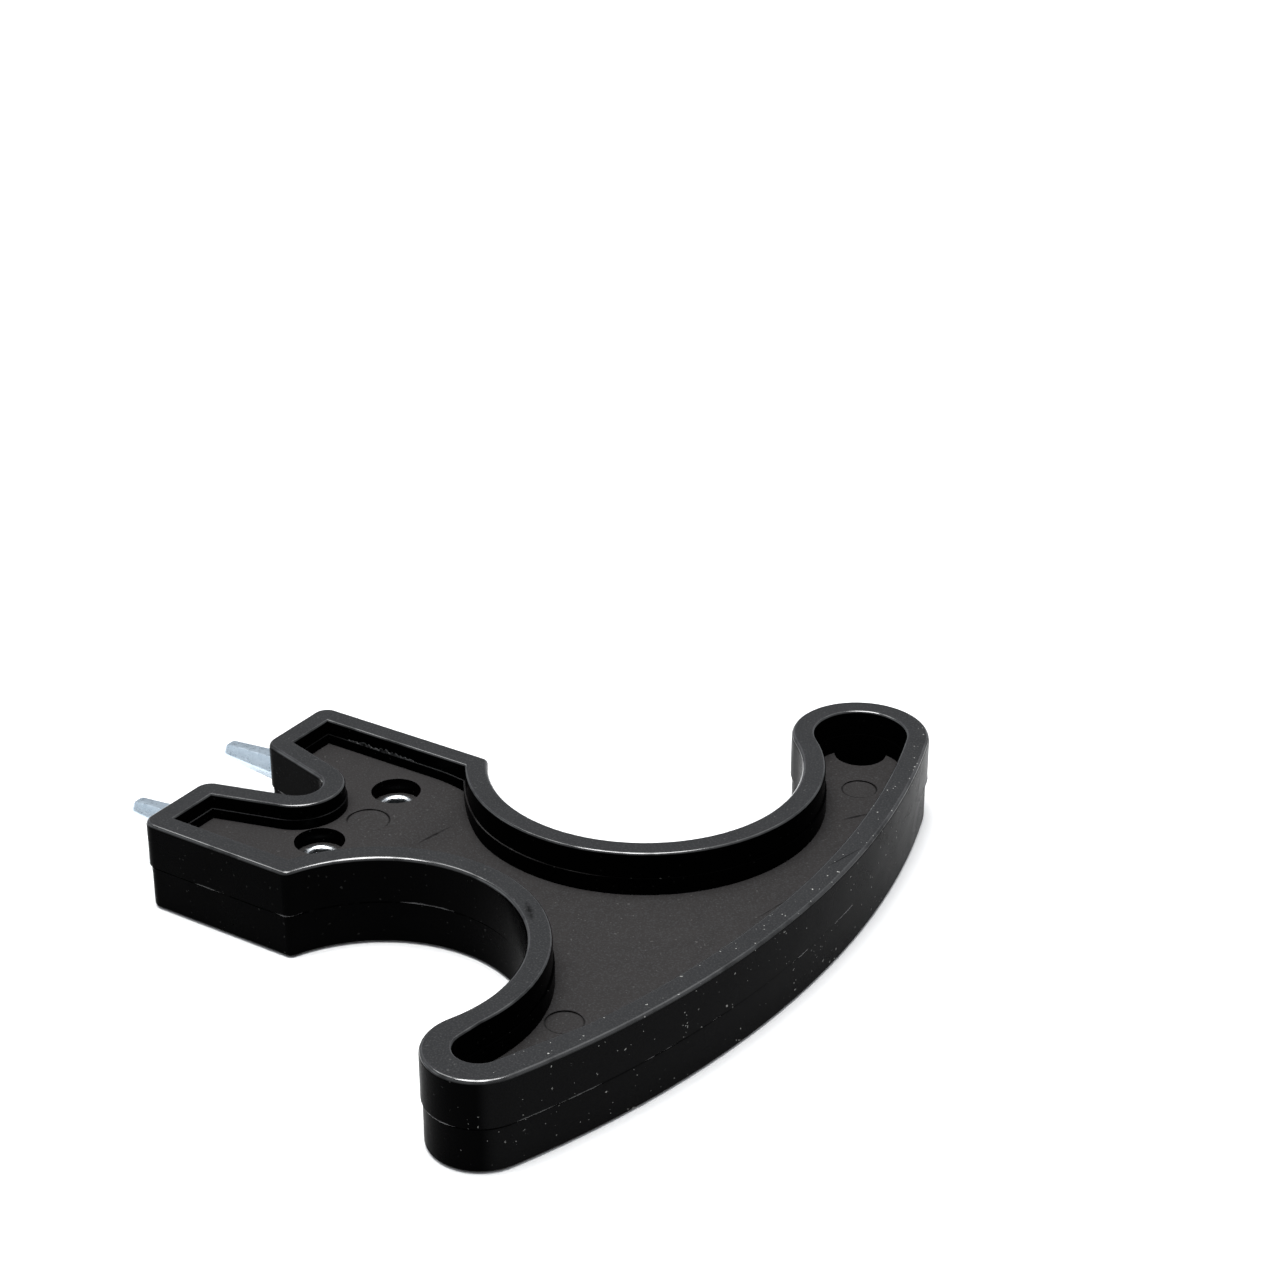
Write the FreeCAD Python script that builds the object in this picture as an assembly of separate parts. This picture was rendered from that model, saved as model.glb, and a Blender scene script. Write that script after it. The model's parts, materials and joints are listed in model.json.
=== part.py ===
"""Two-pin spike wrench for screw-in shoe spikes.

A black moulded handle with a palm arc and two finger scallops holds two tapered
hexagonal steel drive pins.  Each pin ends inside the head in a flat tail with a
threaded eye, and a hexagon socket set screw stands in that eye.

Frame: +X runs from the pins to the palm, +Z is up, Z = 0 is the underside.
The outline is drawn from the head's end face (X = 0) and the head's centre line
(Y = 0), and everything is then moved so that the origin is the bottom centre.
"""
import FreeCAD
import Part
import math
import os

V = FreeCAD.Vector
UP = V(0, 0, 1)

# ---- driving dimensions, mm ------------------------------------------------
THICKNESS = 9.8
PARTING_Z = THICKNESS / 2
MOULD_STEP = 0.18            # the lower mould half is this much smaller all round
RIM_WIDTH = 2.4

HEAD_HALF_WIDTH = 14.5
HEAD_CORNER_RADIUS = 1.6
SCALLOP_CORNER_RADIUS = 1.0
NOTCH_MOUTH_HALF = 4.7
NOTCH_ROOT_RADIUS = 2.3
NOTCH_ROOT_X = 8.35
NOTCH_LIP_RADIUS = 1.8

PALM_CENTRE = V(-38.8, 9.8, 0)
PALM_RADIUS = 102.1
LONG_TIP_Y = 40.0            # the longer end of the palm arc, which carries the hanging hole
LONG_TIP_RADIUS = 7.2
SHORT_TIP_Y = -27.4
SHORT_TIP_RADIUS = 5.3
SHORT_TIP_POCKET_RADIUS = 2.4  # the rim is thicker round the short tip
SHORT_TIP_TAPER_Y = -19.6      # and has its usual width from here on
LONG_SCALLOP_CENTRE = V(35.4, 22.8, 0)
SHORT_SCALLOP_CENTRE = V(32.2, -19.6, 0)

HEAD_POCKET_DEPTH = 2.7
HANDLE_POCKET_DEPTH = 4.6
UNDERSIDE_POCKET_DEPTH = 2.9
RAMP_START_X = 16.5          # the pocket floor sinks in a long S from head to handle
RAMP_END_X = 27.5
LEDGE_SHARE = 0.6            # the pocket wall steps in at this share of its depth
LEDGE_STEP = 0.16

RIM_EDGE_RADIUS = 0.45
POCKET_EDGE_RADIUS = 0.3

PIN_SPREAD = 14.4            # matches the two drive holes of a spike
PIN_Z = 5.7
PIN_REACH = 7.4
PIN_ROOT_FLATS = 2.9
PIN_TIP_FLATS = 1.9
PIN_TIP_CHAMFER = 0.35
SHANK_FLATS = 2.2
SHANK_END_X = 9.5
TAIL_START_X = 8.5           # a flat tail runs on from the hexagon, below the screw's head
TAIL_BOTTOM_Z = 3.9
TAIL_TOP_Z = 5.2
EYE_RADIUS = 3.1

SCREW_CENTRES = {"left": V(14.7, 7.7, 0), "right": V(14.4, -4.4, 0)}
SCREW_WELL_RADIUS = 2.55
SCREW_WELL_Z = 5.4
SCREW_RADIUS = 2.0
SCREW_TOP_Z = 5.7
SCREW_LENGTH = 4.0
SCREW_CHAMFER = 0.3
SCREW_SOCKET_FLATS = 2.0
SCREW_SOCKET_DEPTH = 1.8
BOSS_RADIUS = 4.0
BOSS_BOTTOM_Z = 1.2

HANGING_HOLE_RADIUS = 2.75
HANGING_HOLE_CENTRE = V(49.4, 43.5, 0)
EJECTOR_DEPTH = 0.12
EJECTOR_MARKS = (            # centre, radius, and which floor it is on
    (V(15.9, 1.5, 0), 2.15, HEAD_POCKET_DEPTH),
    (V(53.0, 36.7, 0), 1.8, HANDLE_POCKET_DEPTH),
    (V(50.9, -15.0, 0), 1.8, HANDLE_POCKET_DEPTH),
)


# ---- plane geometry ---------------------------------------------------------
def unit(vector):
    return vector * (1.0 / vector.Length)


def tip_centre(y, radius):
    """Centre of a tip circle that touches the palm arc from inside."""
    reach = PALM_RADIUS - radius
    x = PALM_CENTRE.x + math.sqrt(reach ** 2 - (y - PALM_CENTRE.y) ** 2)
    return V(x, y, 0)


LONG_TIP_CENTRE = tip_centre(LONG_TIP_Y, LONG_TIP_RADIUS)
SHORT_TIP_CENTRE = tip_centre(SHORT_TIP_Y, SHORT_TIP_RADIUS)
LONG_SCALLOP_RADIUS = (LONG_TIP_CENTRE - LONG_SCALLOP_CENTRE).Length - LONG_TIP_RADIUS
SHORT_SCALLOP_RADIUS = (SHORT_TIP_CENTRE - SHORT_SCALLOP_CENTRE).Length - SHORT_TIP_RADIUS


def arc_through(start, centre, radius, towards, end):
    """Arc on the given circle from start to end, passing the point nearest towards."""
    middle = centre + unit(towards - centre) * radius
    return Part.Arc(start, middle, end).toShape()


def line(start, end):
    return Part.makeLine(start, end)


def scallop_start(centre, radius, y):
    """Where a scallop circle meets the head's straight side at the given Y."""
    return V(centre.x - math.sqrt(radius ** 2 - (y - centre.y) ** 2), y, 0)


def touch(circle_centre, other_centre, radius):
    return circle_centre + unit(other_centre - circle_centre) * radius


def notch_tangent(side):
    """Point where the notch wall leaves the round root, on the side of the given sign."""
    mouth = V(0, NOTCH_MOUTH_HALF, 0)
    root = V(NOTCH_ROOT_X, 0, 0)
    span = (mouth - root).Length
    heading = math.atan2(mouth.y - root.y, mouth.x - root.x)
    angle = heading - math.acos(NOTCH_ROOT_RADIUS / span)
    return V(root.x + NOTCH_ROOT_RADIUS * math.cos(angle), side * NOTCH_ROOT_RADIUS * math.sin(angle), 0)


def outline_edges():
    """The moulding's outline, once round, with its corners still sharp."""
    w = HEAD_HALF_WIDTH
    short_corner = scallop_start(SHORT_SCALLOP_CENTRE, SHORT_SCALLOP_RADIUS, -w)
    long_corner = scallop_start(LONG_SCALLOP_CENTRE, LONG_SCALLOP_RADIUS, w)
    short_joint = touch(SHORT_SCALLOP_CENTRE, SHORT_TIP_CENTRE, SHORT_SCALLOP_RADIUS)
    long_joint = touch(LONG_SCALLOP_CENTRE, LONG_TIP_CENTRE, LONG_SCALLOP_RADIUS)
    short_palm = touch(PALM_CENTRE, SHORT_TIP_CENTRE, PALM_RADIUS)
    long_palm = touch(PALM_CENTRE, LONG_TIP_CENTRE, PALM_RADIUS)
    wall_left = notch_tangent(1)
    wall_right = notch_tangent(-1)
    root = V(NOTCH_ROOT_X, 0, 0)
    return [
        line(V(0, -w, 0), short_corner),
        arc_through(short_corner, SHORT_SCALLOP_CENTRE, SHORT_SCALLOP_RADIUS,
                    SHORT_SCALLOP_CENTRE + V(0.3, 1, 0), short_joint),
        arc_through(short_joint, SHORT_TIP_CENTRE, SHORT_TIP_RADIUS,
                    SHORT_TIP_CENTRE + V(-0.2, -1, 0), short_palm),
        arc_through(short_palm, PALM_CENTRE, PALM_RADIUS, PALM_CENTRE + V(1, 0, 0), long_palm),
        arc_through(long_palm, LONG_TIP_CENTRE, LONG_TIP_RADIUS,
                    LONG_TIP_CENTRE + V(-0.3, 1, 0), long_joint),
        arc_through(long_joint, LONG_SCALLOP_CENTRE, LONG_SCALLOP_RADIUS,
                    LONG_SCALLOP_CENTRE + V(0.4, -1, 0), long_corner),
        line(long_corner, V(0, w, 0)),
        line(V(0, w, 0), V(0, NOTCH_MOUTH_HALF, 0)),
        line(V(0, NOTCH_MOUTH_HALF, 0), wall_left),
        arc_through(wall_left, root, NOTCH_ROOT_RADIUS, root + V(1, 0, 0), wall_right),
        line(wall_right, V(0, -NOTCH_MOUTH_HALF, 0)),
        line(V(0, -NOTCH_MOUTH_HALF, 0), V(0, -w, 0)),
    ]


def round_upright_corners(solid, radius_at):
    """Round the upright edges that stand at the given plan points."""
    for radius, points in radius_at:
        chosen = []
        for edge in solid.Edges:
            ends = [v.Point for v in edge.Vertexes]
            if len(ends) != 2 or abs(ends[0].z - ends[1].z) < 1.0:
                continue
            if any(math.hypot(ends[0].x - p.x, ends[0].y - p.y) < 0.05 for p in points):
                chosen.append(edge)
        solid = solid.makeFillet(radius, chosen)
    return solid


def full_block():
    """The outline as a plain block of full thickness, with its corners rounded."""
    face = Part.Face(Part.Wire(outline_edges()))
    block = face.extrude(UP * THICKNESS)
    w = HEAD_HALF_WIDTH
    scallop_corners = (scallop_start(SHORT_SCALLOP_CENTRE, SHORT_SCALLOP_RADIUS, -w),
                       scallop_start(LONG_SCALLOP_CENTRE, LONG_SCALLOP_RADIUS, w))
    return round_upright_corners(block, (
        (HEAD_CORNER_RADIUS, (V(0, -w, 0), V(0, w, 0))),
        (SCALLOP_CORNER_RADIUS, scallop_corners),
        (NOTCH_LIP_RADIUS, (V(0, NOTCH_MOUTH_HALF, 0), V(0, -NOTCH_MOUTH_HALF, 0))),
    ))


def bottom_wire(block):
    lowest = min(block.Faces, key=lambda f: f.CenterOfMass.z)
    return lowest.OuterWire


def inset_wire(wire, inset):
    if inset == 0:
        return wire
    return wire.makeOffset2D(-inset, 0, False, False, False)


def prism(wire, bottom, top):
    """The area inside a wire drawn at Z = 0, raised to the given heights."""
    solid = Part.Face(wire).extrude(UP * (top - bottom))
    solid.translate(UP * bottom)
    return solid


def cylinder(centre, radius, bottom, top):
    return Part.makeCylinder(radius, top - bottom, V(centre.x, centre.y, bottom))


# ---- the moulding -----------------------------------------------------------
def ramp_edges(start, end):
    """Two tangent arcs that leave the start level and reach the end level."""
    run = end.x - start.x
    drop = start.z - end.z
    radius = (run ** 2 + drop ** 2) / (4 * drop)
    half_turn = math.asin(run / 2 / radius) / 2
    middle = (start + end) * 0.5
    first = start + V(radius * math.sin(half_turn), 0, radius * (math.cos(half_turn) - 1))
    second = end - V(radius * math.sin(half_turn), 0, radius * (math.cos(half_turn) - 1))
    return [Part.Arc(start, first, middle).toShape(), Part.Arc(middle, second, end).toShape()]


def pocket_floor_block(share=1.0):
    """Everything above the pocket's floor, or above that share of its depth."""
    near, far = -80.0, 80.0
    above = THICKNESS + 1
    start = V(RAMP_START_X, near, THICKNESS - HEAD_POCKET_DEPTH * share)
    end = V(RAMP_END_X, near, THICKNESS - HANDLE_POCKET_DEPTH * share)
    corners = [end, V(far, near, end.z), V(far, near, above), V(near, near, above),
               V(near, near, start.z), start]
    edges = ramp_edges(start, end) + [line(a, b) for a, b in zip(corners, corners[1:])]
    return Part.Face(Part.Wire(edges)).extrude(V(0, far - near, 0))


def short_tip_slot(inset):
    """Plan of the narrowing end of the pocket in the short tip, as a solid of full height."""
    centre = SHORT_TIP_CENTRE
    radius = SHORT_TIP_POCKET_RADIUS + RIM_WIDTH - inset
    y = SHORT_TIP_TAPER_Y
    rise = y - SHORT_SCALLOP_CENTRE.y
    inner = SHORT_SCALLOP_CENTRE.x + math.sqrt((SHORT_SCALLOP_RADIUS + inset) ** 2 - rise ** 2)
    outer = PALM_CENTRE.x + math.sqrt((PALM_RADIUS - inset) ** 2 - (y - PALM_CENTRE.y) ** 2)
    corners = [V(inner, y, 0), V(outer, y, 0)]
    for corner, turn in ((corners[1], -1), (corners[0], 1)):
        span = corner - centre
        heading = math.atan2(span.y, span.x) + turn * math.acos(radius / span.Length)
        corners.append(centre + V(math.cos(heading), math.sin(heading), 0) * radius)
    taper = prism(Part.makePolygon(corners + corners[:1]), -2, THICKNESS + 2)
    return taper.fuse(cylinder(centre, radius, -2, THICKNESS + 2))


def pocket_plan(wire, inset, bottom, top):
    """The area inside the rim, between two heights."""
    body = Part.makeBox(200, 200, THICKNESS + 4, V(-100, SHORT_TIP_TAPER_Y, -2))
    return prism(inset_wire(wire, inset), bottom, top).common(body.fuse(short_tip_slot(inset)))


def upper_pocket(wire):
    """The pocket in the upper face: a wide upper part and a slightly narrower lower part."""
    mouth = pocket_plan(wire, RIM_WIDTH, 0, THICKNESS + 1).common(pocket_floor_block(LEDGE_SHARE))
    depth = pocket_plan(wire, RIM_WIDTH + LEDGE_STEP, 0, THICKNESS + 1).common(pocket_floor_block())
    return mouth.fuse(depth)


def lower_pocket(wire):
    pocket = pocket_plan(wire, RIM_WIDTH, -1, UNDERSIDE_POCKET_DEPTH)
    for centre in SCREW_CENTRES.values():
        pocket = pocket.cut(cylinder(centre, BOSS_RADIUS, BOSS_BOTTOM_Z, THICKNESS))
    return pocket


def edges_at(shape, z):
    return [e for e in shape.Edges if abs(e.BoundBox.ZMin - z) < 1e-4 and abs(e.BoundBox.ZMax - z) < 1e-4]


def moulding_shell():
    """Upper and lower mould halves, one a hair larger, so a fine step runs round the side."""
    block = full_block()
    wire = bottom_wire(block)
    upper = prism(wire, PARTING_Z, THICKNESS)
    lower = prism(inset_wire(wire, MOULD_STEP), 0, PARTING_Z)
    upper = upper.makeFillet(RIM_EDGE_RADIUS, edges_at(upper, THICKNESS))
    lower = lower.makeFillet(RIM_EDGE_RADIUS, edges_at(lower, 0))
    return upper.fuse(lower), wire


def round_pocket_mouth(body, z):
    """Round the edge where the pocket opens in the rim face at the given height."""
    level = [f for f in body.Faces if abs(f.BoundBox.ZMin - z) < 1e-4 and abs(f.BoundBox.ZMax - z) < 1e-4]
    rim = max(level, key=lambda f: f.BoundBox.DiagonalLength)
    mouth = [w for w in rim.Wires if not w.isSame(rim.OuterWire)]
    return body.makeFillet(POCKET_EDGE_RADIUS, [e for w in mouth for e in w.Edges])


def hanging_hole(wire):
    """The web is left out at the long tip, up to the rim."""
    within = pocket_plan(wire, RIM_WIDTH + LEDGE_STEP, -1, THICKNESS + 1)
    return cylinder(HANGING_HOLE_CENTRE, HANGING_HOLE_RADIUS, -1, THICKNESS + 1).common(within)


def handle():
    shell, wire = moulding_shell()
    body = shell.cut(upper_pocket(wire)).cut(lower_pocket(wire))
    body = round_pocket_mouth(body, THICKNESS)
    body = round_pocket_mouth(body, 0)
    body = body.cut(hanging_hole(wire))
    for centre, radius, pocket_depth in EJECTOR_MARKS:
        floor_z = THICKNESS - pocket_depth
        body = body.cut(cylinder(centre, radius, floor_z - EJECTOR_DEPTH, floor_z + 0.5))
    for side in ("left", "right"):
        body = body.cut(pin_shape(side)).cut(screw_blank(side))
        body = body.cut(cylinder(SCREW_CENTRES[side], SCREW_WELL_RADIUS, SCREW_WELL_Z, THICKNESS))
    return body.removeSplitter()


# ---- drive pins and their screws --------------------------------------------
def hexagon(flats, x, centre_y):
    """A hexagon across the given flats, standing in the plane of that X, flats up and down."""
    radius = flats / math.sqrt(3)
    points = []
    for k in range(6):
        angle = math.radians(60 * k)
        points.append(V(x, centre_y + radius * math.cos(angle), PIN_Z + radius * math.sin(angle)))
    return Part.makePolygon(points + points[:1])


def hexagon_bar(stations, centre_y):
    """A hexagonal bar through (x, flats) stations."""
    return Part.makeLoft([hexagon(flats, x, centre_y) for x, flats in stations], True, True)


def pin_shape(side):
    sign = 1 if side == "left" else -1
    y = sign * PIN_SPREAD / 2
    screw = SCREW_CENTRES[side]
    tapered = hexagon_bar(((-PIN_REACH, PIN_TIP_FLATS - 2 * PIN_TIP_CHAMFER),
                           (-PIN_REACH + PIN_TIP_CHAMFER, PIN_TIP_FLATS),
                           (0.0, PIN_ROOT_FLATS)), y)
    shank = hexagon_bar(((0.0, SHANK_FLATS), (SHANK_END_X, SHANK_FLATS)), y)
    tail = Part.makeBox(screw.x - TAIL_START_X, SHANK_FLATS, TAIL_TOP_Z - TAIL_BOTTOM_Z,
                        V(TAIL_START_X, y - SHANK_FLATS / 2, TAIL_BOTTOM_Z))
    eye = cylinder(screw, EYE_RADIUS, TAIL_BOTTOM_Z, TAIL_TOP_Z)
    return tapered.fuse(shank).fuse(tail).fuse(eye).removeSplitter()


def screw_blank(side):
    """The set screw's outside, before its socket."""
    centre = SCREW_CENTRES[side]
    blank = cylinder(centre, SCREW_RADIUS, SCREW_TOP_Z - SCREW_LENGTH, SCREW_TOP_Z)
    rims = [e for e in blank.Edges if abs(e.Length - 2 * math.pi * SCREW_RADIUS) < 0.01]
    return blank.makeChamfer(SCREW_CHAMFER, rims)


def drive_pin(side):
    return pin_shape(side).cut(screw_blank(side))


def set_screw(side):
    centre = SCREW_CENTRES[side]
    radius = SCREW_SOCKET_FLATS / math.sqrt(3)
    points = []
    for k in range(6):
        angle = math.radians(60 * k + 30)
        points.append(V(centre.x + radius * math.cos(angle), centre.y + radius * math.sin(angle),
                        SCREW_TOP_Z - SCREW_SOCKET_DEPTH))
    socket = Part.Face(Part.makePolygon(points + points[:1])).extrude(UP * (SCREW_SOCKET_DEPTH + 1))
    return screw_blank(side).cut(socket)


# ---- export -----------------------------------------------------------------
def main():
    nodes = {"handle": handle()}
    for side in ("left", "right"):
        nodes["drive_pin_" + side] = drive_pin(side)
        nodes["set_screw_" + side] = set_screw(side)
    high = V(PALM_CENTRE.x + PALM_RADIUS, LONG_TIP_Y + LONG_TIP_RADIUS, THICKNESS)
    low = V(-PIN_REACH, SHORT_TIP_Y - SHORT_TIP_RADIUS, 0)
    home = V(-(low.x + high.x) / 2, -(low.y + high.y) / 2, 0)
    os.makedirs("parts", exist_ok=True)
    for name, shape in nodes.items():
        shape.translate(home)
        solids = shape.Solids
        print(name, "valid", shape.isValid(), "solids", len(solids), "volume", round(shape.Volume, 2))
        shape.exportStep("parts/" + name + ".step")
    print("overall size", high - low, "moved by", home)


main()
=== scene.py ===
"""Two-pin spike wrench: the looks of a black moulding, two zinc plated pins and two set screws."""
import functools
import json
import math
import random

import bmesh
import bpy
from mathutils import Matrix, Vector


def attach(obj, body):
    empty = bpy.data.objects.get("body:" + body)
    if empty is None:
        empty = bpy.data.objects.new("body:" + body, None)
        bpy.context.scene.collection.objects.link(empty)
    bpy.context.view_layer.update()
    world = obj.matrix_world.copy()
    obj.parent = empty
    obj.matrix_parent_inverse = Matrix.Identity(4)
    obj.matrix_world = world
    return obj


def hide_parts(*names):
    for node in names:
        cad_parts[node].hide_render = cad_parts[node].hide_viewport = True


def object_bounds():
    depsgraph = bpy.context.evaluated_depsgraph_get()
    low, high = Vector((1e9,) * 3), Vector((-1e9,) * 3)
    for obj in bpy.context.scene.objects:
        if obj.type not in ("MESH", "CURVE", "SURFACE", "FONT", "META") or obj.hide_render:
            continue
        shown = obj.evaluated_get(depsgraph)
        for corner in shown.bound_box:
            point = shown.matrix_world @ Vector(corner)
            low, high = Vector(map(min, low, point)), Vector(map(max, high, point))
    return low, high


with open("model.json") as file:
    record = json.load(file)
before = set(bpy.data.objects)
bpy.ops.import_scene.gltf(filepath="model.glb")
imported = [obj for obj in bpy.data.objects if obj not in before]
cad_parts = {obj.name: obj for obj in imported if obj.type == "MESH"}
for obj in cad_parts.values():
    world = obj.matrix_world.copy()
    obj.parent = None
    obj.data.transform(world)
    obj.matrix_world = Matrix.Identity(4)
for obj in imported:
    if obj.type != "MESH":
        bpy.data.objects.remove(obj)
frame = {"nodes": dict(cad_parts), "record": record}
cad_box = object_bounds()

MM = 0.001
WELD = 2e-6                  # m: vertices this close are one
HEAD = Vector(next(m for m in frame["record"]["mounts"] if m["name"] == "drive_pins")["pos_m"])


def at(x, y, z=0.0):
    """A place in metres from millimetres behind the head's end face and off its centre line."""
    return Vector((HEAD.x + x * MM, HEAD.y + y * MM, z * MM))


# ---- camera -----------------------------------------------------------------
LENS = 75.94                 # mm on a 36 mm sensor, fitted to the photo
CAMERA_PLACE = (0.13793, -0.18907, 0.14463)
CAMERA_AZIMUTH = 32.65       # degrees from -Y towards +X
CAMERA_ELEVATION = 26.5


def look_through_lens():
    data = bpy.data.cameras.new("camera")
    data.lens = LENS
    data.sensor_width = 36.0
    data.clip_start = 0.005
    data.clip_end = 10.0
    cam = bpy.data.objects.new("camera", data)
    bpy.context.scene.collection.objects.link(cam)
    azimuth, elevation = math.radians(CAMERA_AZIMUTH), math.radians(CAMERA_ELEVATION)
    back = Vector((math.sin(azimuth) * math.cos(elevation),
                   -math.cos(azimuth) * math.cos(elevation), math.sin(elevation)))
    cam.location = CAMERA_PLACE
    cam.rotation_mode = "QUATERNION"
    cam.rotation_quaternion = (-back).to_track_quat("-Z", "Y")
    bpy.context.scene.camera = cam


# ---- shader helpers ---------------------------------------------------------
MIX_A, MIX_B, MIX_RESULT = 6, 7, 2  # the colour sockets of a Mix node
SPECK_SHARPNESS = 30.0


class Shader:
    """Adds and links the nodes of one material."""

    def __init__(self, name):
        self.material = bpy.data.materials.new(name)
        self.material.use_nodes = True
        self.tree = self.material.node_tree
        self.surface = self.tree.nodes["Principled BSDF"]

    def node(self, kind, **inputs):
        made = self.tree.nodes.new("ShaderNode" + kind)
        for name, value in inputs.items():
            self.feed(made.inputs[name.replace("_", " ")], value)
        return made

    def feed(self, socket, value):
        if isinstance(value, bpy.types.NodeSocket):
            self.tree.links.new(value, socket)
        else:
            socket.default_value = value

    def place(self):
        """Object coordinates in millimetres."""
        return self.vector("SCALE", self.node("TexCoord").outputs["Object"], scale=1 / MM)

    def vector(self, operation, a, b=None, scale=None):
        made = self.tree.nodes.new("ShaderNodeVectorMath")
        made.operation = operation
        self.feed(made.inputs[0], a)
        if b is not None:
            self.feed(made.inputs[1], b)
        if scale is not None:
            self.feed(made.inputs["Scale"], scale)
        return made.outputs["Value" if operation in ("LENGTH", "DOT_PRODUCT") else "Vector"]

    def maths(self, operation, a, b=None, clamp=False):
        made = self.tree.nodes.new("ShaderNodeMath")
        made.operation = operation
        made.use_clamp = clamp
        self.feed(made.inputs[0], a)
        if b is not None:
            self.feed(made.inputs[1], b)
        return made.outputs[0]

    def parts(self, vector):
        return self.node("SeparateXYZ", Vector=vector).outputs

    def ramp(self, value, low, high, to_low=0.0, to_high=1.0):
        """Eases from one value to another as the input goes from low to high."""
        made = self.tree.nodes.new("ShaderNodeMapRange")
        made.interpolation_type = "SMOOTHSTEP"
        for socket, amount in zip(list(made.inputs)[:5], (value, low, high, to_low, to_high)):
            self.feed(socket, amount)
        return made.outputs["Result"]

    def noise(self, vector, scale, detail=2.0, roughness=0.5, distortion=0.0):
        made = self.node("TexNoise", Vector=vector, Scale=scale, Detail=detail,
                         Roughness=roughness, Distortion=distortion)
        return made.outputs["Fac"]

    def blend(self, factor, a, b):
        made = self.tree.nodes.new("ShaderNodeMix")
        made.data_type = "RGBA"
        self.feed(made.inputs["Factor"], factor)
        self.feed(made.inputs[MIX_A], a)
        self.feed(made.inputs[MIX_B], b)
        return made.outputs[MIX_RESULT]

    def product(self, first, *others):
        for other in others:
            first = self.maths("MULTIPLY", first, other)
        return first

    def in_plan(self, vector):
        return self.vector("MULTIPLY", vector, (1, 1, 0))

    def between(self, value, low, low_end, high, high_end):
        """1 between two heights, easing to 0 on either side."""
        return self.product(self.ramp(value, low, low_end), self.ramp(value, high, high_end, 1.0, 0.0))

    def bump(self, height_mm):
        made = self.node("Bump", Strength=1.0, Distance=MM, Height=height_mm)
        self.feed(self.surface.inputs["Normal"], made.outputs["Normal"])

    def specks(self, vector, scale, smallest, largest):
        """Small irregular grains, one in a few of the cells of a Voronoi pattern."""
        cells = self.node("TexVoronoi", Vector=vector, Scale=scale)
        chance = self.parts(cells.outputs["Color"])[0]
        size = self.ramp(chance, smallest, 1.0, 0.0, largest)
        within = self.maths("SUBTRACT", size, cells.outputs["Distance"])
        return self.maths("MULTIPLY", within, SPECK_SHARPNESS, clamp=True)

    def scratch(self, vector, start, end, width):
        """A straight mark in plan between two points, thinning out at its ends, 1 in its middle."""
        run = end - start
        along = self.vector("SUBTRACT", self.in_plan(vector), start)
        share = self.maths("DIVIDE", self.vector("DOT_PRODUCT", along, run), run.length_squared, clamp=True)
        nearest = self.vector("SCALE", tuple(run), scale=share)
        gap = self.vector("LENGTH", self.vector("SUBTRACT", along, nearest))
        taper = self.maths("MULTIPLY", share, self.maths("SUBTRACT", 1.0, share))
        half = self.maths("MULTIPLY", taper, 4 * width / 2)
        return self.maths("MULTIPLY", self.maths("SUBTRACT", half, gap), 2 / width, clamp=True)


def colour(r, g, b):
    return (r, g, b, 1.0)


# ---- mesh helpers -----------------------------------------------------------
def piece(name, verts, faces, materials, kinds=None, sharp_degrees=35.0):
    """A mesh object that rides with the wrench, smooth except at edges sharper than the given angle."""
    mesh = bpy.data.meshes.new(name)
    mesh.from_pydata([tuple(v) for v in verts], [], faces)
    for material in materials:
        mesh.materials.append(material)
    if kinds:
        mesh.polygons.foreach_set("material_index", kinds)
    shape = bmesh.new()
    shape.from_mesh(mesh)
    bmesh.ops.recalc_face_normals(shape, faces=shape.faces)
    for edge in shape.edges:
        edge.smooth = edge.calc_face_angle(math.pi) < math.radians(sharp_degrees)
    for face in shape.faces:
        face.smooth = True
    shape.to_mesh(mesh)
    shape.free()
    made = bpy.data.objects.new(name, mesh)
    bpy.context.scene.collection.objects.link(made)
    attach(made, "root")
    return made


def skin(rings, first=0):
    """Faces between rings of equal length, counted from the given vertex."""
    count = len(rings[0])
    faces = []
    for k in range(len(rings) - 1):
        low = first + k * count
        for i in range(count):
            j = (i + 1) % count
            faces.append((low + i, low + j, low + count + j, low + count + i))
    return faces


def lofted(rings, first=0):
    """Vertices and faces of a closed skin over the rings, capped at both ends."""
    count = len(rings[0])
    last = first + (len(rings) - 1) * count
    faces = skin(rings, first)
    faces.append(tuple(first + i for i in range(count)))
    faces.append(tuple(last + i for i in range(count)))
    return [v for ring in rings for v in ring], faces


# ---- drive pins and set screws ----------------------------------------------
PIN_SPREAD = 14.4
PIN_Z = 5.7
PIN_STATIONS = (             # x, width across flats and corner radius, from the tip to the hidden inner end
    (-7.40, 0.86, 0.30), (-7.37, 1.16, 0.36), (-7.28, 1.42, 0.40), (-7.14, 1.66, 0.36), (-6.95, 1.86, 0.28),
    (-6.70, 1.93, 0.22), (-5.00, 2.16, 0.18), (-2.50, 2.52, 0.18), (-0.20, 2.86, 0.18), (0.0, 2.9, 0.18),
    (0.0, 2.2, 0.18), (9.5, 2.2, 0.18),
)
TAIL_START_X = 8.5
TAIL_STOP = 2.2              # short of the screw's axis, inside the eye
TAIL_SECTION = ((-1.1, 3.9), (1.1, 3.9), (1.1, 5.2), (-1.1, 5.2))  # across and height
EYE_SECTION = (              # radius and height, once round
    (2.02, 4.0), (2.1, 3.9), (3.0, 3.9), (3.1, 4.0), (3.1, 5.1), (3.0, 5.2), (2.1, 5.2), (2.02, 5.1),
    (2.02, 4.0),
)

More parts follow.
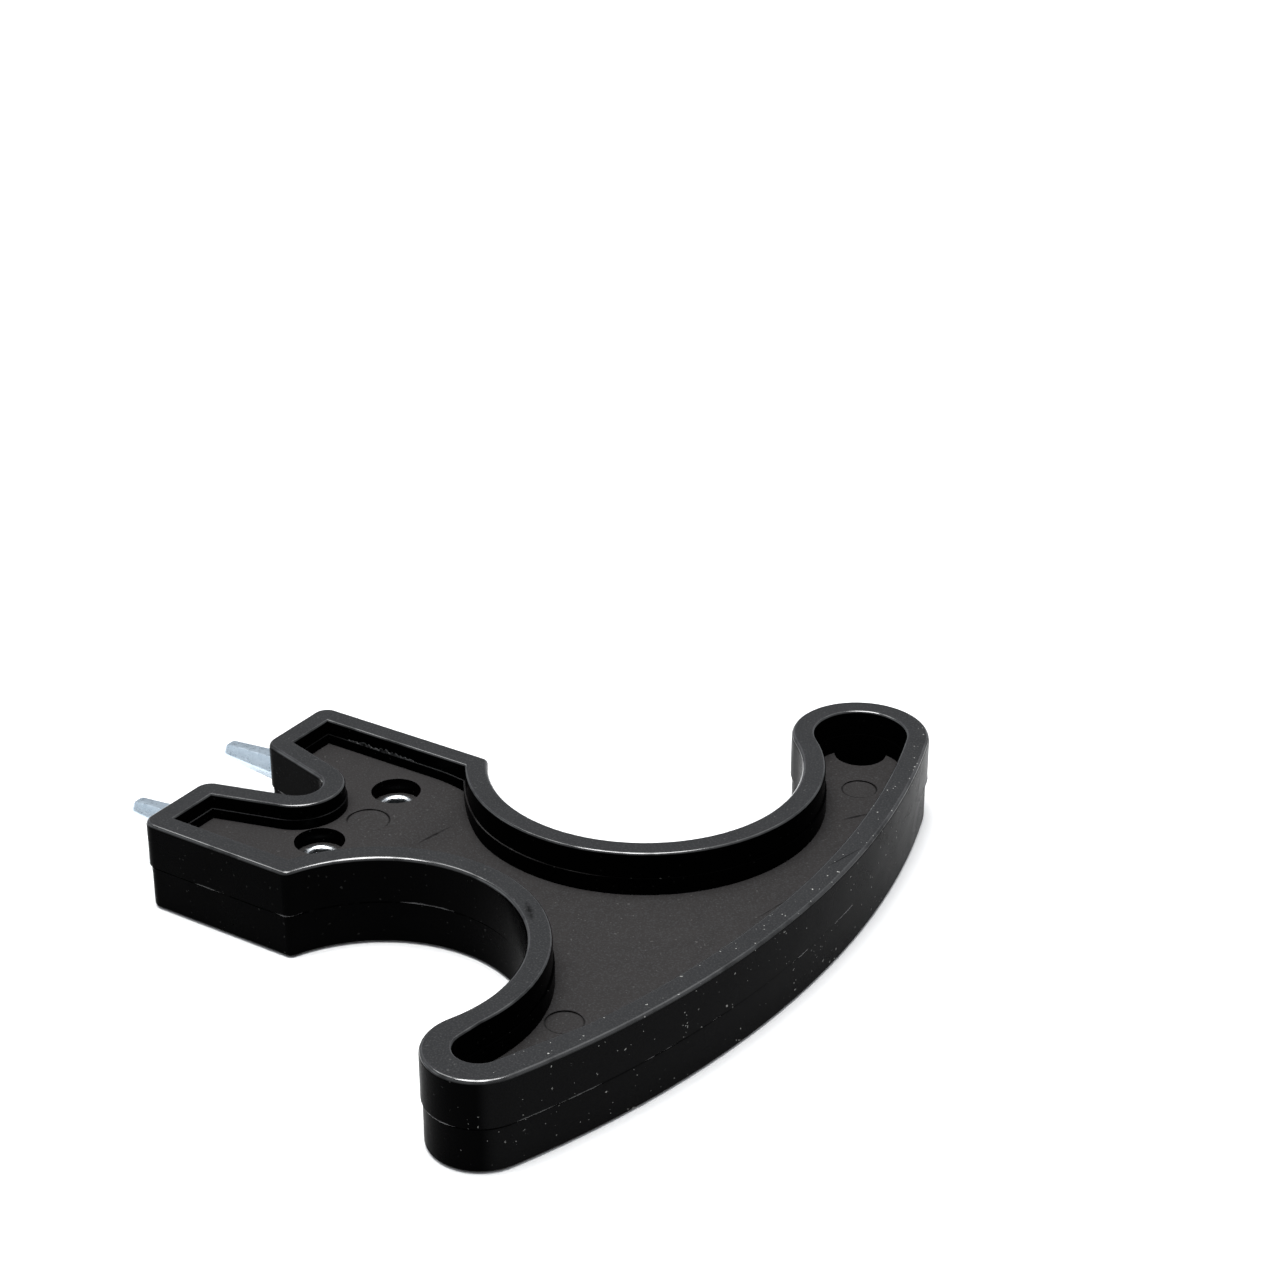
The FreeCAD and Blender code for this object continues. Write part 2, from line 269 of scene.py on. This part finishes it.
ROUND_STEPS = 48
SCREWS = {"left": (14.7, 7.7), "right": (14.4, -4.4)}
SCREW_TOP = 5.7
SCREW_FOOT = 1.7
THREAD_PITCH = 0.5
THREAD_MARGINS = (0.5, 0.75)  # plain length below and above the thread
THREAD_GROOVE = ((1.98, 0.0), (1.98, 0.08), (1.72, 0.24), (1.72, 0.32))  # radius and rise in one pitch
CUP_POINT = ((0.5, 0.35), (1.35, 0.0), (1.55, 0.05), (1.95, 0.4))        # radius and height over the foot
TOP_EDGE = (                 # radius and depth under the top
    (1.98, 0.36), (1.94, 0.20), (1.84, 0.09), (1.70, 0.02), (1.56, 0.0), (1.44, 0.03), (1.34, 0.08),
    (1.26, 0.15),
)
SOCKET_WALL = ((2.1, 0.22), (2.0, 0.35), (2.0, 1.7))  # width across flats and depth
SOCKET_DRILLING = ((0.95, 1.75), (0.1, 2.1))          # radius and depth


def rounded_hexagon(x, y, flats, corner):
    """Once round a hexagon with rounded corners, its flats up and down, standing in the plane of that X."""
    ring = []
    middle = (flats / 2 - corner) / math.cos(math.radians(30))
    for k in range(6):
        heading = math.radians(60 * k)
        for turn in (-30, -10, 10, 30):
            angle = heading + math.radians(turn)
            ring.append(at(x, y + middle * math.cos(heading) + corner * math.cos(angle),
                           PIN_Z + middle * math.sin(heading) + corner * math.sin(angle)))
    return ring


def circle(centre, radius, z):
    turns = [2 * math.pi * k / ROUND_STEPS for k in range(ROUND_STEPS)]
    return [at(centre[0] + radius * math.cos(a), centre[1] + radius * math.sin(a), z) for a in turns]


def drive_pin(side, material):
    y = PIN_SPREAD / 2 * (1 if side == "left" else -1)
    screw = SCREWS[side]
    verts, faces = lofted([rounded_hexagon(x, y, flats, corner) for x, flats, corner in PIN_STATIONS])
    tail = [[at(x, y + across, z) for across, z in TAIL_SECTION]
            for x in (TAIL_START_X, screw[0] - TAIL_STOP)]
    more, sides = lofted(tail, len(verts))
    verts, faces = verts + more, faces + sides
    eye = [circle(screw, radius, z) for radius, z in EYE_SECTION]
    faces += skin(eye, len(verts))
    verts += [v for ring in eye for v in ring]
    made = piece("drive_pin_" + side + "_plated", verts, faces, [material], sharp_degrees=24.0)
    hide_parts("drive_pin_" + side)


def hexagon_socket(centre, flats, z):
    """A ring of the same count as a circle, laid on a hexagon."""
    ring = []
    for k in range(ROUND_STEPS):
        angle = 2 * math.pi * k / ROUND_STEPS
        off_flat = (angle + math.radians(30)) % math.radians(60) - math.radians(30)
        radius = flats / 2 / math.cos(off_flat)
        ring.append(at(centre[0] + radius * math.cos(angle), centre[1] + radius * math.sin(angle), z))
    return ring


def set_screw(side, bright, dark):
    """Cup point, thread, rounded head edge, and a hexagon socket with a drilled bottom."""
    centre = SCREWS[side]
    outside = [(radius, SCREW_FOOT + rise) for radius, rise in CUP_POINT]
    z = SCREW_FOOT + THREAD_MARGINS[0]
    while z < SCREW_TOP - THREAD_MARGINS[1]:
        outside += [(radius, z + rise) for radius, rise in THREAD_GROOVE]
        z += THREAD_PITCH
    outside += [(radius, SCREW_TOP - depth) for radius, depth in TOP_EDGE]
    rings = [circle(centre, radius, z) for radius, z in outside]
    bright_rings = len(rings)
    rings += [hexagon_socket(centre, flats, SCREW_TOP - depth) for flats, depth in SOCKET_WALL]
    rings += [circle(centre, radius, SCREW_TOP - depth) for radius, depth in SOCKET_DRILLING]
    verts, faces = lofted(rings)
    # the socket's walls and bottom take the darkened steel: painted shade and oil
    kinds = [0 if k // ROUND_STEPS < bright_rings - 1 else 1 for k in range(len(faces) - 2)] + [0, 1]
    made = piece("set_screw_" + side + "_plated", verts, faces, [bright, dark], kinds, 28.0)
    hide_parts("set_screw_" + side)


# ---- handle -----------------------------------------------------------------
THICKNESS = 9.8
RIM_EDGE_RADIUS = 0.45
POCKET_EDGE_RADIUS = 0.3
ROUNDING_STEPS = 8
CREASE_DEGREES = 32.0
RIM_SLACK = 0.002
SHARPEST_MITRE = 0.3


def boundary_loops(shape):
    """The open edges of a skin, as rings of vertices in order."""
    beside = {}
    for edge in shape.edges:
        if len(edge.link_faces) == 1:
            a, b = edge.verts
            beside.setdefault(a, []).append(b)
            beside.setdefault(b, []).append(a)
    loops = []
    while beside:
        ring = [min(beside, key=lambda v: (v.co.x, v.co.y))]
        while True:
            onward = [v for v in beside.pop(ring[-1]) if v in beside]
            if not onward:
                break
            ring.append(onward[0])
        loops.append(ring)
    return loops


def plan_area(ring):
    return sum(a.co.x * b.co.y - b.co.x * a.co.y for a, b in zip(ring, ring[1:] + ring[:1])) / 2


def ways_into_rim(ring):
    """At each vertex the level way to the left of the ring, longer at a corner to keep the offset even."""
    ways = []
    for before, here, after in zip(ring[-1:] + ring[:-1], ring, ring[1:] + ring[:1]):
        runs = [(here.co - before.co).normalized(), (after.co - here.co).normalized()]
        lefts = [Vector((-run.y, run.x, 0)) for run in runs]
        middle = (lefts[0] + lefts[1]).normalized()
        ways.append(middle / max(SHARPEST_MITRE, middle.dot(lefts[0])))
    return ways


def even_rim(shape, up):
    """Takes the rim's face off at the top (up = 1) or bottom (-1) and lays it again with even roundings."""
    level = THICKNESS * MM if up > 0 else 0.0
    edge_zone = (RIM_EDGE_RADIUS + RIM_SLACK) * MM
    worn = [f for f in shape.faces if all(abs(v.co.z - level) < edge_zone for v in f.verts)]
    bmesh.ops.delete(shape, geom=worn, context="FACES")
    loops = sorted(boundary_loops(shape), key=lambda ring: -abs(plan_area(ring)))
    last_rings = []
    for number, ring in enumerate(loops):
        if (plan_area(ring) > 0) != (number == 0):
            ring.reverse()
        radius = (RIM_EDGE_RADIUS if number == 0 else POCKET_EDGE_RADIUS) * MM
        ways = ways_into_rim(ring)
        start = [v.co.copy() for v in ring]
        rows = [ring]
        for step in range(1, ROUNDING_STEPS + 1):
            turn = math.pi / 2 * step / ROUNDING_STEPS
            inwards = radius * (1 - math.cos(turn))
            height = level - up * radius * (1 - math.sin(turn))
            rows.append([shape.verts.new(Vector((p.x, p.y, height)) + way * inwards)
                         for p, way in zip(start, ways)])
        for low, high in zip(rows, rows[1:]):
            for i in range(len(ring)):
                j = (i + 1) % len(ring)
                shape.faces.new((low[i], low[j], high[j], high[i]))
        last_rings.append(rows[-1])
    rim_edges = [shape.edges.get((a, b)) for row in last_rings for a, b in zip(row, row[1:] + row[:1])]
    bmesh.ops.triangle_fill(shape, use_beauty=True, edges=rim_edges, normal=(0, 0, up))


def moulded_handle(material):
    """The handle's CAD surface as one welded skin, with evenly meshed roundings round both its rims."""
    mesh = frame["nodes"]["handle"].data.copy()
    mesh.name = "handle_moulding"
    mesh.materials.clear()
    mesh.materials.append(material)
    shape = bmesh.new()
    shape.from_mesh(mesh)
    bmesh.ops.remove_doubles(shape, verts=shape.verts, dist=WELD)
    for up in (1, -1):
        even_rim(shape, up)
    bmesh.ops.recalc_face_normals(shape, faces=shape.faces)
    for edge in shape.edges:
        edge.smooth = edge.calc_face_angle(math.pi) < math.radians(CREASE_DEGREES)
    for face in shape.faces:
        face.smooth = True
        face.material_index = 0
    shape.to_mesh(mesh)
    shape.free()
    mesh.attributes.remove(mesh.attributes["custom_normal"])
    made = bpy.data.objects.new("handle_moulding", mesh)
    bpy.context.scene.collection.objects.link(made)
    weigh = made.modifiers.new("weighted_normals", "WEIGHTED_NORMAL")
    weigh.mode = "FACE_AREA"
    weigh.weight = 100
    weigh.keep_sharp = True
    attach(made, "root")
    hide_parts("handle")


# ---- parting line -----------------------------------------------------------
PARTING_Z = 4.9
SHORTEST_WALL = 0.5          # what stands over the parting line is taller than this
FLASH_SPACING = 0.4
FLASH_SEED = 11
FLASH_SWELLS = (0.2, 0.45, 0.8, 1.0)
SWELL_STEPS = 8              # points from one swell to the next
FLASH_ROOT = -0.19           # the lower half's wall, just behind the step
FLASH_SECTION = (            # how far out and how far up
    (-0.20, 0.10), (-0.03, 0.10), (0.03, 0.06), (0.06, 0.0), (0.03, -0.06), (-0.06, -0.10), (-0.20, -0.12),
)
# section of the painted shadow strip: how far out and how far up
SHADOW_STRIP_SECTION = ((-0.19, 0.0), (-0.165, 0.0), (-0.165, -0.25), (-0.19, -0.25))


def parting_runs():
    """The upper mould half's lower edge, in open runs between the pins, with the way out at each point."""
    shape = bmesh.new()
    shape.from_mesh(frame["nodes"]["handle"].data)
    bmesh.ops.remove_doubles(shape, verts=shape.verts, dist=WELD)
    ways = {}
    joined = {}
    for edge in shape.edges:
        if any(abs(v.co.z - PARTING_Z * MM) > WELD for v in edge.verts):
            continue
        walls = [f for f in edge.link_faces if abs(f.normal.z) < 0.1]
        steps = [f for f in edge.link_faces if f.normal.z < -0.9]
        if not walls or not steps:
            continue
        if max(v.co.z for f in walls for v in f.verts) < (PARTING_Z + SHORTEST_WALL) * MM:
            continue
        a, b = edge.verts
        for one, other in ((a, b), (b, a)):
            joined.setdefault(one, []).append(other)
            ways[one] = ways.get(one, Vector((0, 0, 0))) + walls[0].normal
    runs = []
    while joined:
        ends = [v for v in joined if len(joined[v]) == 1]
        order = [min(ends or joined, key=lambda v: (v.co.y, v.co.x))]
        while True:
            onward = [v for v in joined.pop(order[-1]) if v in joined]
            if not onward:
                break
            order.append(onward[0])
        runs.append([(v.co.copy(), ways[v].normalized()) for v in order])
    shape.free()
    return runs


def in_box(place):
    """The nearest place inside the CAD model's box."""
    low, high = cad_box
    return Vector(min(max(c, lo), hi) for c, lo, hi in zip(place, low, high))


def evenly_spaced(run, spacing):
    points = []
    for (a, way_a), (b, way_b) in zip(run, run[1:]):
        steps = max(1, round((b - a).length / (spacing * MM)))
        for k in range(steps):
            points.append((a.lerp(b, k / steps), way_a.lerp(way_b, k / steps).normalized()))
    return points + [run[-1]]


def parting_flash(material):
    """A fine uneven bead of flash, tucked under the step where the two mould halves met."""
    chance = random.Random(FLASH_SEED)
    verts, faces = [], []
    for run in parting_runs():
        points = evenly_spaced(run, FLASH_SPACING)
        swell = [chance.choice(FLASH_SWELLS) for _ in range(len(points) // SWELL_STEPS + 2)]
        rings = []
        for k, (place, way) in enumerate(points):
            share = k / SWELL_STEPS % 1
            size = swell[k // SWELL_STEPS] * (1 - share) + swell[k // SWELL_STEPS + 1] * share
            size = min(1.0, size * chance.uniform(0.85, 1.1))
            rings.append([in_box(place + way * ((FLASH_ROOT + (out - FLASH_ROOT) * size) * MM)
                                 + Vector((0, 0, up * size * MM))) for out, up in FLASH_SECTION])
        more, sides = lofted(rings, len(verts))
        verts += more
        faces += sides
    piece("parting_flash", verts, faces, [material], sharp_degrees=60.0)


def parting_shadow_strip(material):
    """A near-black strip just outside the lower half's wall, right under the step: painted shadow of the
    step's overhang.
    """
    verts, faces = [], []
    for run in parting_runs():
        rings = [[place + way * (out * MM) + Vector((0, 0, up * MM)) for out, up in SHADOW_STRIP_SECTION]
                 for place, way in evenly_spaced(run, FLASH_SPACING)]
        more, sides = lofted(rings, len(verts))
        verts += more
        faces += sides
    piece("parting_shadow_strip", verts, faces, [material], sharp_degrees=60.0)


# ---- torn ledge -------------------------------------------------------------
BURR_SPACING = 0.22
BURR_RISE, BURR_OUT, BURR_DROP = (0.05, 0.42), (0.04, 0.20), (0.02, 0.22)  # least and most
BURR_LIP = 0.03


def ledge_burr(name, start, end, lean, material, seed):
    """Plastic torn up along the ledge in a pocket wall, between two places; lean is the way off the wall."""
    chance = random.Random(seed)
    start, end, lean = Vector(start), Vector(end), Vector(lean)
    count = max(4, round((end - start).length / BURR_SPACING))
    rings = []
    for k in range(count + 1):
        place = start.lerp(end, k / count)
        swell = math.sin(math.pi * k / count) ** 0.5
        rise = swell * chance.uniform(*BURR_RISE)
        out = swell * chance.uniform(*BURR_OUT)
        drop = swell * chance.uniform(*BURR_DROP)
        section = ((0.0, rise), (out * 0.5, rise * 0.8), (out, BURR_LIP),
                   (out * 0.7, -drop), (0.0, -drop * 1.2))
        rings.append([at(place.x + lean.x * w, place.y + lean.y * w, place.z + h) for w, h in section])
    verts, faces = lofted(rings)
    piece(name, verts, faces, [material], sharp_degrees=20.0)


# ---- black plastic ----------------------------------------------------------
PALM_CENTRE = at(-38.8, 9.8) / MM
PALM_RADIUS = 102.1
PALM_RIM = (PALM_RADIUS - 3.2, PALM_RADIUS - 1.2)    # eased from the pocket's edge to the rim
# where the palm's outer wall takes its painted reflection
PALM_WALL = (PALM_RADIUS - 1.0, PALM_RADIUS - 0.3)
BEHIND_HEAD = (at(27.5, 0).x / MM, at(28.5, 0).x / MM)
TOWARD_TIPS = (at(33.0, 0).x / MM, at(43.0, 0).x / MM)
FLOOR_TO_RIM = (7.4, 8.4)                            # heights
UPPER_HALF = (4.9, 5.1)
HEAD_LEDGE = (7.12, 7.2, 9.2, 9.3)                   # heights that hold the ledge, eased at either end
WEB_LEDGE = (6.9, 6.98, 7.08, 7.11)
TOP_FACE = (9.0, 9.3)
UNDERSIDE = (0.5, 0.8)

# Base blacks by facing, over one plastic: the flat faces' lighter blacks are painted sheen, the walls'
# near-black is painted shade
RIM_PAINTED_SHEEN = colour(0.0185, 0.0190, 0.0200), colour(0.0255, 0.0260, 0.0270)
FLOOR_PAINTED_SHEEN = colour(0.0235, 0.0222, 0.0222), colour(0.0320, 0.0300, 0.0295)
WALL_PAINTED_SHADE = colour(0.0002, 0.0002, 0.0002), colour(0.0008, 0.0008, 0.0009)
# the palm wall's lighter black is painted reflection
PALM_PAINTED_REFLECTION = colour(0.0042, 0.0042, 0.0043)
GRAIN_GREY = colour(0.042, 0.042, 0.043)
# dark for the scratches (wear) and for the ejector rings (painted shade)
WEAR_AND_SHADE_BLACK = colour(0.003, 0.003, 0.003)
DUST_GREY = colour(0.42, 0.42, 0.40)

EJECTOR_MARKS = (((15.9, 1.5), 2.15), ((53.0, 36.7), 1.8), ((50.9, -15.0), 1.8))
SCRATCHES = (                # start and end from the head, and width: fine marks on the floor and the rim
    ((21.9, 1.4), (22.6, 6.8), 0.32),
    ((54.5, 30.0), (56.5, 33.0), 0.50),
    ((56.5, 8.0), (58.0, 16.5), 0.14),
    ((40.4, -5.9), (43.2, -8.7), 1.0),
    ((61.2, 14.0), (62.6, 20.0), 0.20),
    ((33.0, 1.0), (37.0, -3.0), 0.12),
)


def from_centre(s, mm, centre):
    """Distance in plan."""
    return s.vector("LENGTH", s.in_plan(s.vector("SUBTRACT", mm, centre)))


def strongest(s, masks):
    return functools.reduce(lambda a, b: s.maths("MAXIMUM", a, b), masks)


def scuff_marks(s, mm, level, height):
    marks = strongest(s, [s.scratch(mm, at(*start) / MM, at(*end) / MM, width)
                          for start, end, width in SCRATCHES])
    broken = s.ramp(s.noise(mm, 1.6, 3.0), 0.35, 0.5, 0.5, 1.0)
    return s.product(marks, level, s.ramp(height, *UPPER_HALF), broken)


# Painted shade: a dark ring where each ejector mark's edge steps, broken up by noise
def ejector_ring_shade(s, mm, level):
    rings = []
    for centre, radius in EJECTOR_MARKS:
        off_ring = s.maths("ABSOLUTE", s.maths("SUBTRACT", from_centre(s, mm, at(*centre) / MM), radius))
        rings.append(s.ramp(off_ring, 0.03, 0.16, 1.0, 0.0))
    return s.product(strongest(s, rings), level, s.ramp(s.noise(mm, 0.45), 0.35, 0.6, 0.1, 1.0))


def dust_specks(s, mm, level, off_palm):
    """Grains in clusters, most of them on the rim of the palm arc, fewer on the walls."""
    palm_rim = s.ramp(off_palm, *PALM_RIM, 0.12, 1.0)
    clusters = s.ramp(s.noise(mm, 0.12, 2.0, 0.5), 0.42, 0.62, 0.45, 1.0)
    warp = s.node("TexNoise", Vector=mm, Scale=2.0).outputs["Color"]
    bent = s.vector("ADD", mm, s.vector("SCALE", warp, scale=0.5))
    specks = strongest(s, [s.specks(bent, 1.1, 0.72, 0.16), s.specks(bent, 2.6, 0.80, 0.24)])
    share = s.ramp(s.product(palm_rim, clusters), 0.05, 0.8, 0.06, 0.8)
    return s.product(specks, share, s.ramp(level, 0.0, 1.0, 0.45, 1.0))


def ledge_painted_shade(s, mm, height):
    """Painted shade on the step in the pocket's wall, which takes the walls' near-black: patchy by the head
    and quite dark towards the tips.
    """
    behind = s.parts(mm)[0]
    web = s.product(s.between(height, *WEB_LEDGE), s.ramp(behind, *BEHIND_HEAD))
    patches = s.ramp(s.noise(mm, 0.10, 2.0), 0.38, 0.62, 0.2, 0.9)
    return s.product(strongest(s, [s.between(height, *HEAD_LEDGE), web]),
                     strongest(s, [patches, s.ramp(behind, *TOWARD_TIPS)]))


def black_plastic():
    s = Shader("black_plastic")
    mm = s.place()
    tilt = s.maths("ABSOLUTE", s.parts(s.node("NewGeometry").outputs["Normal"])[2])
    level = s.ramp(tilt, 0.80, 0.97)
    height = s.parts(mm)[2]
    off_palm = from_centre(s, mm, PALM_CENTRE)
    grain = s.noise(mm, 5.5, 3.0, 0.65)
    cloud = s.noise(mm, 0.16, 4.0, 0.6, 0.8)
    swirl = s.noise(s.vector("MULTIPLY", mm, (1.0, 0.35, 1.0)), 0.5, 5.0, 0.6, 1.6)

    # flat faces lighter (painted sheen), walls near-black (painted shade); the pocket floor a little lighter
    # than the rim, with swirled flow marks
    pocket_floor = s.product(level, s.ramp(height, *FLOOR_TO_RIM, 1.0, 0.0))
    flat_painted_sheen = s.blend(pocket_floor, s.blend(cloud, *RIM_PAINTED_SHEEN), s.blend(swirl, *FLOOR_PAINTED_SHEEN))
    # the palm's outer wall lighter than the other walls: painted reflection
    side_shade_and_reflection = s.blend(s.ramp(off_palm, *PALM_WALL), s.blend(cloud, *WALL_PAINTED_SHADE), PALM_PAINTED_REFLECTION)
    # painted shade: the walls' near-black laid over the ledge's flat step
    ledge = ledge_painted_shade(s, mm, height)
    plain = s.blend(ledge, s.blend(level, side_shade_and_reflection, flat_painted_sheen), side_shade_and_reflection)
    light_grain = s.product(s.ramp(grain, 0.45, 0.75), s.maths("SUBTRACT", level, ledge, clamp=True))
    grained = s.blend(light_grain, plain, GRAIN_GREY)
    scuffs = scuff_marks(s, mm, level, height)
    # scratches darkened as wear; ejector rings darkened as painted shade
    marks_and_shade = strongest(s, [s.product(scuffs, 0.95), s.product(ejector_ring_shade(s, mm, level), 0.75)])
    dust = dust_specks(s, mm, level, off_palm)
    s.feed(s.surface.inputs["Base Color"], s.blend(dust, s.blend(marks_and_shade, grained, WEAR_AND_SHADE_BLACK), DUST_GREY))

    satin = s.product(s.ramp(swirl, 0.3, 0.7, 0.40, 0.52), level)
    smooth_wall = s.product(s.ramp(cloud, 0.3, 0.7, 0.20, 0.30), s.maths("SUBTRACT", 1.0, level))
    s.feed(s.surface.inputs["Roughness"], strongest(s, [s.maths("ADD", satin, smooth_wall), dust]))
    s.surface.inputs["Specular IOR Level"].default_value = 0.006
    s.surface.inputs["IOR"].default_value = 1.5

    # polished roundings along the edges of both faces
    rounded = s.product(s.ramp(tilt, 0.25, 0.60), s.ramp(tilt, 0.93, 0.99, 1.0, 0.06))
    polish = s.ramp(s.noise(mm, 0.30, 3.0, 0.6), 0.30, 0.55, 0.45, 1.0)
    by_face = strongest(s, [s.ramp(height, *TOP_FACE), s.ramp(height, *UNDERSIDE, 1.0, 0.0)])
    s.feed(s.surface.inputs["Coat Weight"], s.product(rounded, polish, by_face))
    s.surface.inputs["Coat Roughness"].default_value = 0.12
    s.surface.inputs["Coat IOR"].default_value = 1.9

    relief = s.product(grain, level, 0.012)
    for depth, pattern in ((0.05, s.noise(mm, 0.14, 1.0, 0.5)), (0.003, s.noise(mm, 3.0, 2.0, 0.5)),
                           (-0.05, scuffs), (0.04, dust)):
        relief = s.maths("ADD", relief, s.product(pattern, depth))
    s.bump(relief)
    return s.material


# ---- other materials --------------------------------------------------------
def torn_plastic():
    """Flash and burrs: the same plastic drawn out thin, a little greyer and glossier."""
    s = Shader("torn_plastic")
    mm = s.place()
    mottle = s.noise(mm, 1.8, 4.0, 0.65)
    s.feed(s.surface.inputs["Base Color"], s.blend(s.ramp(mottle, 0.35, 0.7), colour(0.002, 0.002, 0.002),
                                                   colour(0.026, 0.026, 0.027)))
    s.feed(s.surface.inputs["Roughness"], s.ramp(mottle, 0.3, 0.7, 0.18, 0.4))
    s.surface.inputs["Specular IOR Level"].default_value = 0.35
    s.bump(s.maths("MULTIPLY", s.noise(mm, 5.0, 2.0), 0.02))
    return s.material


def shadow_strip_black():
    """The shut line of the mould: dull plastic with dirt in it."""
    # Painted shadow for the strip under the step: dull near-black with a faint mottle.
    s = Shader("shadow_strip_black")
    marks_and_shade = s.noise(s.place(), 1.2, 4.0, 0.65)
    s.feed(s.surface.inputs["Base Color"], s.blend(s.ramp(marks_and_shade, 0.45, 0.8), colour(0.0002, 0.0002, 0.0002),
                                                   colour(0.004, 0.004, 0.004)))
    s.feed(s.surface.inputs["Roughness"], s.ramp(marks_and_shade, 0.3, 0.7, 0.7, 0.95))
    s.surface.inputs["Specular IOR Level"].default_value = 0.0
    s.bump(s.maths("MULTIPLY", marks_and_shade, 0.01))
    return s.material


def zinc(name, tint_low, tint_high, lengthways):
    """Bright zinc plate: a faint blue cast, fine drawn lines and a mottled bloom."""
    s = Shader(name)
    mm = s.place()
    drawn = s.noise(s.vector("MULTIPLY", mm, lengthways), 9.0, 3.0, 0.6)
    bloom = s.noise(mm, 1.4, 3.0, 0.6, 0.6)
    s.feed(s.surface.inputs["Base Color"], s.blend(s.ramp(bloom, 0.3, 0.7), tint_low, tint_high))
    s.surface.inputs["Metallic"].default_value = 1.0
    s.feed(s.surface.inputs["Roughness"], s.ramp(s.maths("ADD", drawn, bloom), 0.7, 1.3, 0.24, 0.40))
    s.bump(s.maths("MULTIPLY", drawn, 0.003))
    return s.material


def oily_shaded_steel():
    """The inside of a screw's socket, darkened partly by oil and dirt and partly as painted shade in the
    recess.
    """
    s = Shader("socket_oil_and_shade")
    grime_and_shade = s.noise(s.place(), 2.5, 4.0, 0.6)
    s.feed(s.surface.inputs["Base Color"], s.blend(grime_and_shade, colour(0.01, 0.011, 0.012),
                                                   colour(0.05, 0.055, 0.06)))
    s.surface.inputs["Metallic"].default_value = 0.6
    s.feed(s.surface.inputs["Roughness"], s.ramp(grime_and_shade, 0.3, 0.7, 0.35, 0.6))
    s.bump(s.maths("MULTIPLY", grime_and_shade, 0.02))
    return s.material


# ---- studio -----------------------------------------------------------------
SKY = (0.93, 0.96, 1.0, 1)
SKY_STRENGTH = 0.55
FLOOR_HALF = 3.0             # m
FLOOR_WHITE = (0.92, 0.92, 0.92, 1)


def studio():
    bpy.context.scene.view_settings.view_transform = "Standard"
    world = bpy.data.worlds.new("studio")
    bpy.context.scene.world = world
    world.use_nodes = True
    background = world.node_tree.nodes["Background"]
    background.inputs["Color"].default_value = SKY
    background.inputs["Strength"].default_value = SKY_STRENGTH
    mesh = bpy.data.meshes.new("floor")
    corners = [(x * FLOOR_HALF, y * FLOOR_HALF, 0) for x, y in ((-1, -1), (1, -1), (1, 1), (-1, 1))]
    mesh.from_pydata(corners, [], [(0, 1, 2, 3)])
    floor = bpy.data.objects.new("floor", mesh)
    bpy.context.scene.collection.objects.link(floor)
    material = bpy.data.materials.new("floor")
    material.use_nodes = True
    shader = material.node_tree.nodes["Principled BSDF"]
    shader.inputs["Base Color"].default_value = FLOOR_WHITE
    shader.inputs["Roughness"].default_value = 0.9
    shader.inputs["Specular IOR Level"].default_value = 0.1
    floor.data.materials.append(material)


def softbox(name, place, target, width, height, radiance, tint=(1, 1, 1)):
    """A rectangular area light aimed at the target, as bright as a surface of that radiance."""
    light = bpy.data.lights.new(name, "AREA")
    light.shape = "RECTANGLE"
    light.size = width
    light.size_y = height
    light.energy = radiance * math.pi * width * height
    light.color = tint
    holder = bpy.data.objects.new(name, light)
    holder.location = place
    holder.rotation_mode = "QUATERNION"
    holder.rotation_quaternion = (Vector(target) - Vector(place)).to_track_quat("-Z", "Y")
    bpy.context.scene.collection.objects.link(holder)


# ---- scene ------------------------------------------------------------------
look_through_lens()
studio()
softbox("overhead", (0.0, -0.04, 0.6), (0, 0, 0), 0.36, 0.36, 12.0)
softbox("left_strip", (-0.42, -0.05, 0.70), (0, 0, 0), 0.24, 0.24, 3.5)
softbox("ceiling", (0.0, 0.3, 1.6), (0, 0.1, 0), 2.0, 2.0, 0.5)
softbox("head_fill", (-0.6, -0.30, 0.30), (0, 0, 0), 0.5, 0.3, 0.5, (0.90, 0.96, 1.0))

moulded_handle(black_plastic())
torn = torn_plastic()
parting_flash(torn)
# painted shadow strip under the mould step
parting_shadow_strip(shadow_strip_black())
ledge_burr("ledge_burr_head", (5.0, 12.08, 8.18), (14.2, 12.08, 8.18), (0, -1, 0), torn, seed=5)
pin_zinc = zinc("pin_zinc", colour(0.50, 0.59, 0.67), colour(0.58, 0.67, 0.75), (0.15, 1.0, 1.0))
screw_zinc = zinc("screw_zinc", colour(0.84, 0.89, 0.93), colour(0.93, 0.96, 0.98), (1.0, 1.0, 0.2))
socket_shade_steel = oily_shaded_steel()
for side in ("left", "right"):
    drive_pin(side, pin_zinc)
    set_screw(side, screw_zinc, socket_shade_steel)
